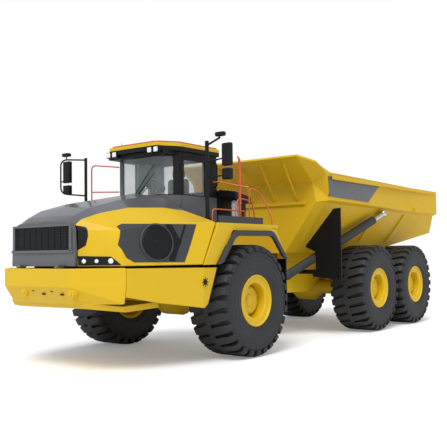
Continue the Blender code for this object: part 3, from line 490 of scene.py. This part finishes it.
for side_name, side in SIDES:
    patch(f"side_opening_{side_name}", "hood", OPENING, 0.008, TRIM, side, bevel=0.003)
    patch(f"opening_wedge_{side_name}", "hood", WEDGE, 0.012, BLACK, side)
    patch(f"opening_stripe_{side_name}", "hood", STRIPE, 0.012, BLACK, side)
    patch(f"eye_intake_{side_name}", "hood", EYE, 0.008, BLACK, side, bevel=0.003)
    patch(f"lamp_panel_{side_name}", "hood", LAMP_PANEL, 0.010, BLACK, side, bevel=0.004)
    x, z, radius = INTAKE
    centre, normal = touch("hood", x, z, side)
    bm = bmesh.new()
    rod(bm, centre - normal * 0.02, centre + normal * 0.022, radius, steps=64)
    for share in INTAKE_RINGS:
        rod(bm, centre + normal * 0.02, centre + normal * (0.03 + 0.016 * (1 - share)),
            radius * share, radius * (share - 0.05), steps=64)
    rod(bm, centre + normal * 0.03, centre + normal * 0.055, 0.05, 0.03, steps=24)
    piece(bm, f"round_intake_{side_name}", BLACK, "hood", bevel=0.003)
    bm = bmesh.new()
    ring = [bm.verts.new((0, y, r)) for y, r in (
        (-0.01, radius), (0.028, radius), (0.034, radius + 0.012), (0.02, radius + 0.03),
        (-0.01, radius + 0.034))]
    edges = [bm.edges.new((ring[i], ring[(i + 1) % 5])) for i in range(5)]
    bmesh.ops.spin(bm, geom=ring + edges, cent=(0, 0, 0), axis=(0, 1, 0), angle=2 * math.pi,
                   steps=64, use_merge=True)
    turn = Vector((0, 1, 0)).rotation_difference(normal).to_matrix()
    bmesh.ops.rotate(bm, cent=(0, 0, 0), matrix=turn, verts=bm.verts)
    bmesh.ops.translate(bm, vec=centre, verts=bm.verts)
    piece(bm, f"intake_ring_{side_name}", TRIM, "hood")
    for i, (x, z, radius) in enumerate(LAMPS):
        centre, normal = touch("hood", ahead(x), z, side)
        bm = bmesh.new()
        rod(bm, centre, centre + normal * 0.022, radius, radius * 0.95, steps=32)
        piece(bm, f"lamp_bowl_{side_name}_{i}", CHROME, "hood", bevel=0.002)
        bm = bmesh.new()
        rod(bm, centre + normal * 0.02, centre + normal * 0.032, radius * 0.86, radius * 0.6,
            steps=32)
        piece(bm, f"lamp_lens_{side_name}_{i}", LENS, "hood", bevel=0.002)

# grille: a black plate as painted shade in the well behind the slats, framed by grey bars
GRILLE_X = ahead(3.25)
SLATS = 9
SLAT_LOW, SLAT_STEP = 2.01, 0.042
BARS_EACH_WAY, BAR_STEP = 4, 0.16
GRILLE_FRAME = (   # right low corner, left high corner as (Y, Z)
    ((-0.76, 2.365), (0.76, 2.40)), ((-0.80, 1.94), (0.80, 1.985)),
    ((-0.765, 1.96), (-0.71, 2.38)), ((0.71, 1.96), (0.765, 2.38)))
bm = bmesh.new()
# a black plate just behind the slats: painted shade of the grille's well
block(bm, (GRILLE_X - 0.01, -0.72, 1.98), (GRILLE_X + 0.004, 0.72, 2.37))
piece(bm, "grille_well_painted_shade", BLACK, "hood")
bm = bmesh.new()
for i in range(SLATS):
    z = SLAT_LOW + i * SLAT_STEP
    block(bm, (GRILLE_X, -0.71, z - 0.006), (GRILLE_X + 0.016, 0.71, z + 0.006))
for i in range(-BARS_EACH_WAY, BARS_EACH_WAY + 1):
    y = i * BAR_STEP
    block(bm, (GRILLE_X, y - 0.005, 1.985), (GRILLE_X + 0.012, y + 0.005, 2.365))
piece(bm, "grille_slats", BLACK, "hood")
bm = bmesh.new()
for low, high in GRILLE_FRAME:
    block(bm, (GRILLE_X - 0.01, *low), (GRILLE_X + 0.028, *high))
piece(bm, "grille_frame", GREY, "hood", bevel=0.006)

# ---- bumper and skirt fittings ----
for side_name, side in SIDES:
    centre, normal = touch(f"side_skirt_{side_name}", ahead(1.33), 1.42, side)
    bm = bmesh.new()
    rod(bm, centre - normal * 0.01, centre + normal * 0.008, 0.085, steps=32)
    piece(bm, f"skirt_port_ring_{side_name}", YELLOW, "tractor", bevel=0.002)
    bm = bmesh.new()
    rod(bm, centre, centre + normal * 0.012, 0.052, steps=32)
    for i in range(8):
        angle = math.pi * i / 4
        spot = centre + Vector((math.cos(angle) * 0.070, 0, math.sin(angle) * 0.070))
        rod(bm, spot, spot + normal * 0.018, 0.009, steps=6)
    piece(bm, f"skirt_port_{side_name}", BLACK, "tractor")
TOW_Z = 1.30
TOW_DISCS = (-0.33, 0.86)
TOW_HOLES = (-0.10, 0.16, 0.38, 0.62)
BUMPER_SLOPE_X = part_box("front_bumper")[1][0] - 0.055
bm = bmesh.new()
for y in TOW_DISCS:
    rod(bm, (BUMPER_SLOPE_X - 0.05, y, TOW_Z), (BUMPER_SLOPE_X + 0.03, y, TOW_Z), 0.075, 0.068,
        steps=32)
    rod(bm, (BUMPER_SLOPE_X, y, TOW_Z), (BUMPER_SLOPE_X + 0.05, y, TOW_Z), 0.035, 0.03, steps=24)
piece(bm, "tow_discs", YELLOW, "tractor", bevel=0.004)
# black blocks in the bumper's holes: painted shade inside them
bm = bmesh.new()
for i, y in enumerate(TOW_HOLES):
    z = TOW_Z + 0.03 - 0.05 * (i % 2)
    block(bm, (BUMPER_SLOPE_X - 0.05, y - 0.03, z - 0.012),
          (BUMPER_SLOPE_X + 0.018, y + 0.03, z + 0.012))
piece(bm, "tow_slots_painted_shade", BLACK, "tractor")
bm = bmesh.new()
pan = [bm.verts.new(place) for place in (
    (ahead(3.17), -0.95, 1.15), (ahead(3.17), 0.95, 1.15), (ahead(2.74), 1.36, 1.08),
    (ahead(2.05), 1.45, 1.12), (ahead(2.05), -1.45, 1.12), (ahead(2.74), -1.36, 1.08))]
low = bmesh.ops.extrude_face_region(bm, geom=[bm.faces.new(pan)])["geom"]
bmesh.ops.translate(bm, vec=(-0.06, 0, -0.10),
                    verts=[v for v in low if isinstance(v, bmesh.types.BMVert)])
piece(bm, "belly_pan", YELLOW, "tractor", bevel=0.01)

# ---- cab ----
SILL_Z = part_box("windshield")[0][2]
ROOF_LOW, ROOF_HIGH = (Vector(corner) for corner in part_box("cab_roof"))
CAB_LOW, CAB_HIGH = (Vector(corner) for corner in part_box("cab_shell"))
CAB_CENTRE = (CAB_LOW + CAB_HIGH) / 2


def cab_paint(face):
    """Lining inside, grey below the glass, black pillars."""
    centre = face.calc_center_median()
    if face.normal.dot(CAB_CENTRE - centre) > 0.02 and abs(face.normal.z) < 0.9:
        return 2
    return 0 if centre.z < SILL_Z else 1


sill_cut = [((0, 0, SILL_Z - 0.02), (0, 0, 1))]
skin("cab_shell", (GREY, BLACK, LINING), 0.008, cuts=sill_cut, pick=cab_paint)
skin("cab_door", (GREY, BLACK), 0.005, cuts=sill_cut,
     pick=lambda face: 0 if face.calc_center_median().z < SILL_Z - 0.02 else 1)
roof_edge = ROOF_LOW.z + 0.085
skin("cab_roof", (YELLOW, BLACK), 0.012, 3, cuts=[((0, 0, roof_edge), (0, 0, 1))],
     pick=lambda face: 1 if face.calc_center_median().z < roof_edge else 0)
rim_z = ROOF_HIGH.z + 0.018
bent_tube("roof_rail", [(ROOF_LOW.x + 0.05, -0.80, rim_z), (ahead(0.76), -0.82, rim_z),
                        (ahead(1.14), -0.58, rim_z), (ahead(1.14), 0.58, rim_z),
                        (ahead(0.76), 0.82, rim_z), (ROOF_LOW.x + 0.05, 0.80, rim_z)],
          0.012, ORANGE, "tractor")
bm = bmesh.new()
rod(bm, (ahead(1.0), -0.46, ROOF_HIGH.z), (ahead(1.0), -0.46, ROOF_HIGH.z + 0.11), 0.008, 0.003)
piece(bm, "aerial", BLACK, "tractor")
WORK_LAMPS = (-0.63, -0.47, 0.47, 0.63)
WIPERS = (   # foot and tip as (ahead, Y, Z)
    ((1.02, -0.10, 3.03), (1.01, 0.40, 3.58)), ((1.02, -0.02, 3.02), (1.01, 0.42, 3.42)))
BLADE = 0.30
bm = bmesh.new()
block(bm, (ahead(0.80), -0.74, ROOF_LOW.z - 0.075), (ahead(1.10), 0.74, ROOF_LOW.z + 0.01))
piece(bm, "fascia", BLACK, "tractor", bevel=0.02)
for i, y in enumerate(WORK_LAMPS):
    bm = bmesh.new()
    block(bm, (ahead(1.12), y - 0.062, ROOF_LOW.z - 0.05),
          (ahead(1.20), y + 0.062, ROOF_LOW.z + 0.065))
    piece(bm, f"work_lamp_{i}", BLACK, "tractor", bevel=0.012)
    bm = bmesh.new()
    block(bm, (ahead(1.195), y - 0.05, ROOF_LOW.z - 0.038),
          (ahead(1.207), y + 0.05, ROOF_LOW.z + 0.053))
    piece(bm, f"work_lamp_lens_{i}", LENS, "tractor", bevel=0.006)
for i, (foot, tip) in enumerate(WIPERS):
    bm = bmesh.new()
    foot = Vector((ahead(foot[0]), foot[1], foot[2]))
    tip = Vector((ahead(tip[0]), tip[1], tip[2]))
    rod(bm, foot, tip, 0.010, 0.006)
    along = (tip - foot).normalized()
    joint = tip - along * BLADE
    block(bm, joint - Vector((0.012, 0.006, 0)), joint + Vector((0.004, 0.006, 0.012)))
    piece(bm, f"wiper_{i}", BLACK, "tractor")
for i, side in enumerate((LEFT, RIGHT)):
    y = side * 0.80
    bent_tube(f"grab_handle_{i}", [
        (ahead(-0.30), y, 3.20), (ahead(-0.30), y + side * 0.07, 3.24),
        (ahead(-0.30), y + side * 0.07, 3.66), (ahead(-0.30), y, 3.70)], 0.013, BLACK, "tractor")

# seat: a squab, a back and a head rest, each padded in cloth
SEAT_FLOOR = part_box("driver_seat")[0][2]
SEAT_PADS = (   # name, low and high corners as (ahead, Y, over the cab's floor)
    ("seat_squab", (-0.12, -0.26, 0.06), (0.40, 0.26, 0.24)),
    ("seat_back_pad", (-0.20, -0.24, 0.24), (-0.05, 0.24, 0.88)),
    ("head_rest", (-0.20, -0.13, 0.91), (-0.08, 0.13, 1.06)))
for name, low, high in SEAT_PADS:
    bm = bmesh.new()
    block(bm, (ahead(low[0]), low[1], SEAT_FLOOR + low[2]),
          (ahead(high[0]), high[1], SEAT_FLOOR + high[2]))
    bmesh.ops.subdivide_edges(bm, edges=bm.edges[:], cuts=3, use_grid_fill=True)
    stands_for = ("driver_seat",) if name == "seat_squab" else ()
    pad = piece(bm, name, CLOTH, BODY_OF["driver_seat"], stands_for, crease=180)
    soft = pad.modifiers.new("rounded", "SUBSURF")
    soft.levels = soft.render_levels = 2

# ---- deck ----
DECK_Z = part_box("fender_left")[1][2]
for side_name, side in SIDES:
    bm = bmesh.new()
    block(bm, (ahead(-1.0), side * 0.90, DECK_Z), (ahead(0.92), side * 1.84, DECK_Z + 0.006))
    piece(bm, f"deck_tread_{side_name}", BLACK, "tractor")
    bm = bmesh.new()
    block(bm, (ahead(-0.42), side * 1.85, DECK_Z), (ahead(0.92), side * 1.88, DECK_Z + 0.125))
    piece(bm, f"deck_edge_{side_name}", TRIM, "tractor", bevel=0.006)
    bent_tube(f"kick_rail_{side_name}", [
        (ahead(0.86), side * 1.68, DECK_Z), (ahead(0.86), side * 1.68, DECK_Z + 0.25),
        (ahead(-0.12), side * 1.68, DECK_Z + 0.25), (ahead(-0.12), side * 1.68, DECK_Z)],
        0.013, ORANGE, "tractor")

# ---- rails ----
RAIL_RADIUS = 0.014
DECK = DECK_Z - tyre_up(0)
LOOP_LEFT = ((0.05, 1.70, DECK), (0.05, 1.70, 1.60), (0, 1.60, 1.66), (-0.45, 1.30, 1.70),
             (-0.45, 1.30, DECK))
LOOP_RIGHT = ((0.78, 1.60, DECK), (0.78, 1.60, 1.70), (0.72, 0.85, 1.60))
LOOP_RIGHT_BAR = ((0.78, 1.60, 1.14), (0.72, 0.85, 1.10))
STEP_LOOP = ((-0.84, 1.80, DECK), (-0.84, 1.80, 0.48), (-0.80, 1.72, 0.75), (-0.70, 1.60, 1.03),
             (-0.50, 1.50, 1.12), (-0.50, 1.50, DECK))
STEP_RUN = ((-0.50, 1.50, 1.12), (-0.36, 1.24, 1.17), (-0.19, 1.0, 1.24), (-0.19, 0.86, 1.24))
STEP_INNER = ((-0.80, 1.44, DECK), (-0.74, 1.40, 0.86), (-0.42, 1.30, 0.92), (-0.12, 1.44, 0.66),
              (-0.10, 1.48, DECK))
TUBES = (   # name, route (ahead, half-width, over tyre tops), side, node it stands for
    ("loop_left", LOOP_LEFT, LEFT, ("handrail_left",)),
    ("loop_right", LOOP_RIGHT, RIGHT, ("handrail_right",)),
    ("loop_bar_right", LOOP_RIGHT_BAR, RIGHT, ()),
    ("step_loop_left", STEP_LOOP, LEFT, ("step_rail_left",)),
    ("step_loop_right", STEP_LOOP, RIGHT, ("step_rail_right",)),
    ("step_run_left", STEP_RUN, LEFT, ()), ("step_run_right", STEP_RUN, RIGHT, ()),
    ("step_inner_left", STEP_INNER, LEFT, ()), ("step_inner_right", STEP_INNER, RIGHT, ()),
)
for name, route, side, stands_for in TUBES:
    bent_tube(name, [(ahead(x), side * y, tyre_up(z)) for x, y, z in route], RAIL_RADIUS, ORANGE,
              "tractor", bend=0.12, replaces=stands_for)

# ---- gear behind the cab ----
CANS = (   # ahead, half-width, radius, top over the tyres
    (-0.55, 1.10, 0.055, 0.88), (-0.70, 1.02, 0.055, 0.90), (-0.86, 1.08, 0.065, 0.84))
CLAMP = 0.008
skin("exhaust_and_cleaner", BLACK, 0.02)
for side_name, side in SIDES:
    bm = bmesh.new()
    cover = [bm.verts.new((ahead(x), side * y, tyre_up(z))) for x, y, z in (
        (-0.42, 1.22, 1.06), (-0.42, 0.80, 1.12), (-1.00, 0.80, 1.04), (-1.00, 1.18, 0.98))]
    low = bmesh.ops.extrude_face_region(bm, geom=[bm.faces.new(cover)])["geom"]
    bmesh.ops.translate(bm, vec=(0, side * 0.02, -0.16),
                        verts=[v for v in low if isinstance(v, bmesh.types.BMVert)])
    piece(bm, f"gear_cover_{side_name}", BLACK, "tractor", bevel=0.02)
    for i, (x, y, radius, height) in enumerate(CANS):
        bm = bmesh.new()
        x, y, top = ahead(x), side * y, tyre_up(height)
        rod(bm, (x, y, DECK_Z), (x, y, top), radius, steps=28)
        rod(bm, (x, y, DECK_Z + 0.05), (x, y, DECK_Z + 0.09), radius + CLAMP, steps=28)
        rod(bm, (x, y, top - 0.12), (x, y, top - 0.09), radius + CLAMP, steps=28)
        piece(bm, f"filter_can_{side_name}_{i}", CAN if i < 2 else TRIM, "tractor", bevel=0.008)

# ---- dump bed ----
skin("dump_bed", BED_YELLOW, 0.010, 2, angle=9, crease=9)
WALL_X = mid(2.35)
bm = bmesh.new()
block(bm, (WALL_X - 0.01, -1.40, 2.955), (WALL_X + 0.05, 1.40, 3.025))
piece(bm, "wall_bar", BED_YELLOW, BODY_OF["dump_bed"], bevel=0.012)
HEAD_RIBS = (-1.2, -0.6, 0.0, 0.6, 1.2)
RIB_SIDE = ((WALL_X - 0.01, 3.06), (WALL_X + 0.03, 3.06), (mid(2.99), tyre_up(1.84)),
            (mid(2.95), tyre_up(1.86)))
RIB_HALF = 0.02
bm = bmesh.new()
for y in HEAD_RIBS:
    near = [bm.verts.new((x, y - RIB_HALF, z)) for x, z in RIB_SIDE]
    far = [bm.verts.new((x, y + RIB_HALF, z)) for x, z in RIB_SIDE]
    bm.faces.new(near)
    bm.faces.new(far[::-1])
    for i in range(4):
        j = (i + 1) % 4
        bm.faces.new((near[i], far[i], far[j], near[j]))
piece(bm, "head_ribs", BED_YELLOW, BODY_OF["dump_bed"], bevel=0.006)
SIDE_RIBS = (-0.56, -2.05)     # ahead of the middle axle
RAIL_PANEL = [(mid(x), z) for x, z in ((2.22, 3.56), (-0.33, 3.535), (0.33, 3.08), (2.16, 3.12))]
for side_name, side in SIDES:
    patch(f"rail_panel_{side_name}", "dump_bed", RAIL_PANEL, 0.010, GREY, side, bevel=0.003)
    centre, normal = touch("dump_bed", mid(-2.35), 3.06, side)
    bm = bmesh.new()
    rod(bm, centre - normal * 0.01, centre + normal * 0.03, 0.07, steps=28)
    rod(bm, centre + normal * 0.02, centre + normal * 0.06, 0.045, steps=28)
    piece(bm, f"lifting_eye_{side_name}", BED_YELLOW, BODY_OF["dump_bed"], bevel=0.005)
    bm = bmesh.new()
    block(bm, (mid(-3.85), side * 1.93, tyre_up(1.43)), (mid(2.10), side * 1.985, tyre_up(1.52)))
    piece(bm, f"top_edge_{side_name}", BED_YELLOW, BODY_OF["dump_bed"], bevel=0.012)
    bm = bmesh.new()
    for x in SIDE_RIBS:
        upper, _ = touch("dump_bed", mid(x), tyre_up(0.80), side)
        lower, _ = touch("dump_bed", mid(x), tyre_up(0.10), side)
        ring = []
        for place in (upper, lower):
            for dx in (-0.035, 0.035):
                for out in (-0.02, 0.05):
                    ring.append(bm.verts.new(place + Vector((dx, side * out, 0))))
        bmesh.ops.convex_hull(bm, input=ring)
    piece(bm, f"side_ribs_{side_name}", BED_YELLOW, BODY_OF["dump_bed"], bevel=0.008)

# ---- mirrors ----
MIRROR_X = ahead(0.92)
POST_STEPS_FROM = 0.03        # rods this thick or thicker are posts, with rounder sides


def mirror_piece(name, rods=(), heads=(), material=BLACK, replaces=(), bevel=0.0, segments=2):
    """Arms as (start, end, radius) and heads as (centre, size), joined in one piece."""
    bm = bmesh.new()
    for start, end, radius in rods:
        rod(bm, start, end, radius, steps=24 if radius >= POST_STEPS_FROM else 16)
    for centre, size in heads:
        half = Vector(size) / 2
        block(bm, Vector(centre) - half, Vector(centre) + half)
    piece(bm, name, material, "tractor", replaces, bevel, segments)


FOOT = 0.10
HEAD_ROUND = 0.03
LEFT_X = MIRROR_X - 0.046     # plane of the left mirror glasses
mirror_piece("mirror_post_left", (
    ((MIRROR_X, 1.62, DECK_Z), (MIRROR_X, 1.62, 3.90), 0.036),
    ((MIRROR_X, 1.62, DECK_Z), (MIRROR_X, 1.62, DECK_Z + FOOT), 0.055),
    ((MIRROR_X, 1.62, 3.82), (MIRROR_X, 1.92, 3.93), 0.018),
    ((MIRROR_X, 1.62, 3.52), (MIRROR_X, 1.98, 3.56), 0.014),
    ((MIRROR_X, 1.62, 3.24), (MIRROR_X, 1.98, 3.26), 0.014)),
    replaces=("mirror_left",), bevel=0.004)
mirror_piece("mirror_heads_left", heads=(
    ((MIRROR_X, 2.075, 3.62), (0.09, 0.205, 0.40)),
    ((MIRROR_X, 2.075, 3.28), (0.09, 0.205, 0.20)),
    ((MIRROR_X + 0.04, 1.96, 3.98), (0.10, 0.20, 0.08))), bevel=HEAD_ROUND, segments=4)
mirror_piece("mirror_glass_left", heads=(
    ((LEFT_X, 2.075, 3.62), (0.006, 0.165, 0.35)),
    ((LEFT_X, 2.075, 3.28), (0.006, 0.165, 0.16))), material=CHROME, bevel=0.002)

LOOP_X = ahead(1.34)          # front of the right mirror's tube loop
BLADE_X = ahead(1.20)
TOP_X = ahead(1.24)
mirror_piece("mirror_post_right", (
    ((MIRROR_X, -1.62, DECK_Z), (MIRROR_X, -1.62, 3.90), 0.030),
    ((MIRROR_X, -1.62, DECK_Z), (MIRROR_X, -1.62, DECK_Z + FOOT), 0.055)),
    replaces=("mirror_right",), bevel=0.004)
bent_tube("mirror_loop_right", [
    (MIRROR_X, -1.62, 3.86), (LOOP_X, -1.90, 3.85), (LOOP_X, -1.90, 3.15),
    (MIRROR_X, -1.62, 3.12)], 0.016, BLACK, "tractor", bend=0.14)
mirror_piece("mirror_heads_right", (
    ((BLADE_X, -1.80, 3.40), (LOOP_X, -1.90, 3.40), 0.012),
    ((TOP_X, -1.84, 3.86), (TOP_X, -1.84, 3.93), 0.012)), (
    ((BLADE_X, -1.86, 3.60), (0.08, 0.20, 0.44)), ((BLADE_X, -1.86, 3.24), (0.08, 0.20, 0.18)),
    ((TOP_X, -1.84, 3.95), (0.10, 0.18, 0.07))), bevel=HEAD_ROUND, segments=4)
mirror_piece("mirror_glass_right", heads=(
    ((BLADE_X - 0.041, -1.86, 3.60), (0.006, 0.165, 0.39)),
    ((BLADE_X - 0.041, -1.86, 3.24), (0.006, 0.165, 0.14))), material=CHROME, bevel=0.002)

# ---- floor, light and camera ----
FLOOR_HALF = 60
FLOOR_GLOW = 0.2


def stage_material(name, code, glow):
    """Pale and lit by the same light, with a faint glow only the eye sees."""
    material = new_material(name)
    matte = add_node(material, "ShaderNodeBsdfDiffuse", {"Color": linear(code)})
    rays = add_node(material, "ShaderNodeLightPath")
    share = add_node(material, "ShaderNodeMath", {"operation": "MULTIPLY"})
    share.inputs[1].default_value = glow
    material.node_tree.links.new(rays.outputs["Is Camera Ray"], share.inputs[0])
    shine = add_node(material, "ShaderNodeEmission", links={"Strength": share.outputs[0]})
    both = add_node(material, "ShaderNodeAddShader")
    material.node_tree.links.new(matte.outputs[0], both.inputs[0])
    material.node_tree.links.new(shine.outputs[0], both.inputs[1])
    return close(material, both)


bm = bmesh.new()
bmesh.ops.create_grid(bm, x_segments=1, y_segments=1, size=FLOOR_HALF)
mesh = bpy.data.meshes.new("floor")
bm.to_mesh(mesh)
bm.free()
floor = bpy.data.objects.new("floor", mesh)
floor.location = (0, 0, -0.001)
bpy.context.scene.collection.objects.link(floor)
mesh.materials.append(stage_material("pale_matte_floor", "#F7F7F7", FLOOR_GLOW))

world = bpy.data.worlds.new("studio")
bpy.context.scene.world = world
world.use_nodes = True
world.node_tree.nodes.clear()
rays = add_node(world, "ShaderNodeLightPath")
seen = add_node(world, "ShaderNodeMath", {"operation": "MAXIMUM"})
world.node_tree.links.new(rays.outputs["Is Camera Ray"], seen.inputs[0])
world.node_tree.links.new(rays.outputs["Is Transmission Ray"], seen.inputs[1])
lit = add_node(world, "ShaderNodeBackground", {"Color": (0.92, 0.95, 1.0, 1), "Strength": 0.66})
white = add_node(world, "ShaderNodeBackground", {"Color": (1, 1, 1, 1), "Strength": 1.0})
blend = add_node(world, "ShaderNodeMixShader", links={"Fac": seen.outputs[0]})
world.node_tree.links.new(lit.outputs[0], blend.inputs[1])
world.node_tree.links.new(white.outputs[0], blend.inputs[2])
add_node(world, "ShaderNodeOutputWorld", links={"Surface": blend.outputs[0]})

key = bpy.data.lights.new("key", "SUN")
key.energy = 1.9
key.angle = math.radians(25)
key_object = bpy.data.objects.new("key", key)
key_object.rotation_euler = (math.radians(38), 0, math.radians(115))
bpy.context.scene.collection.objects.link(key_object)

YAW, PITCH, ROLL = (math.radians(a) for a in (218.095, 2.488, -0.697))
look = Vector((math.cos(YAW) * math.cos(PITCH), math.sin(YAW) * math.cos(PITCH), math.sin(PITCH)))
level = look.cross(Vector((0, 0, 1))).normalized()
upright = level.cross(look)
across = math.cos(ROLL) * level + math.sin(ROLL) * upright
up = -math.sin(ROLL) * level + math.cos(ROLL) * upright
camera = bpy.data.objects.new("camera", bpy.data.cameras.new("camera"))
camera.data.lens = 55.76
camera.data.sensor_width = 36
turn = Matrix((across, up, -look)).transposed().to_4x4()
camera.matrix_world = Matrix.Translation((13.1515, 9.3836, 1.8963)) @ turn
bpy.context.scene.collection.objects.link(camera)
bpy.context.scene.camera = camera
bpy.context.scene.view_settings.view_transform = "Standard"
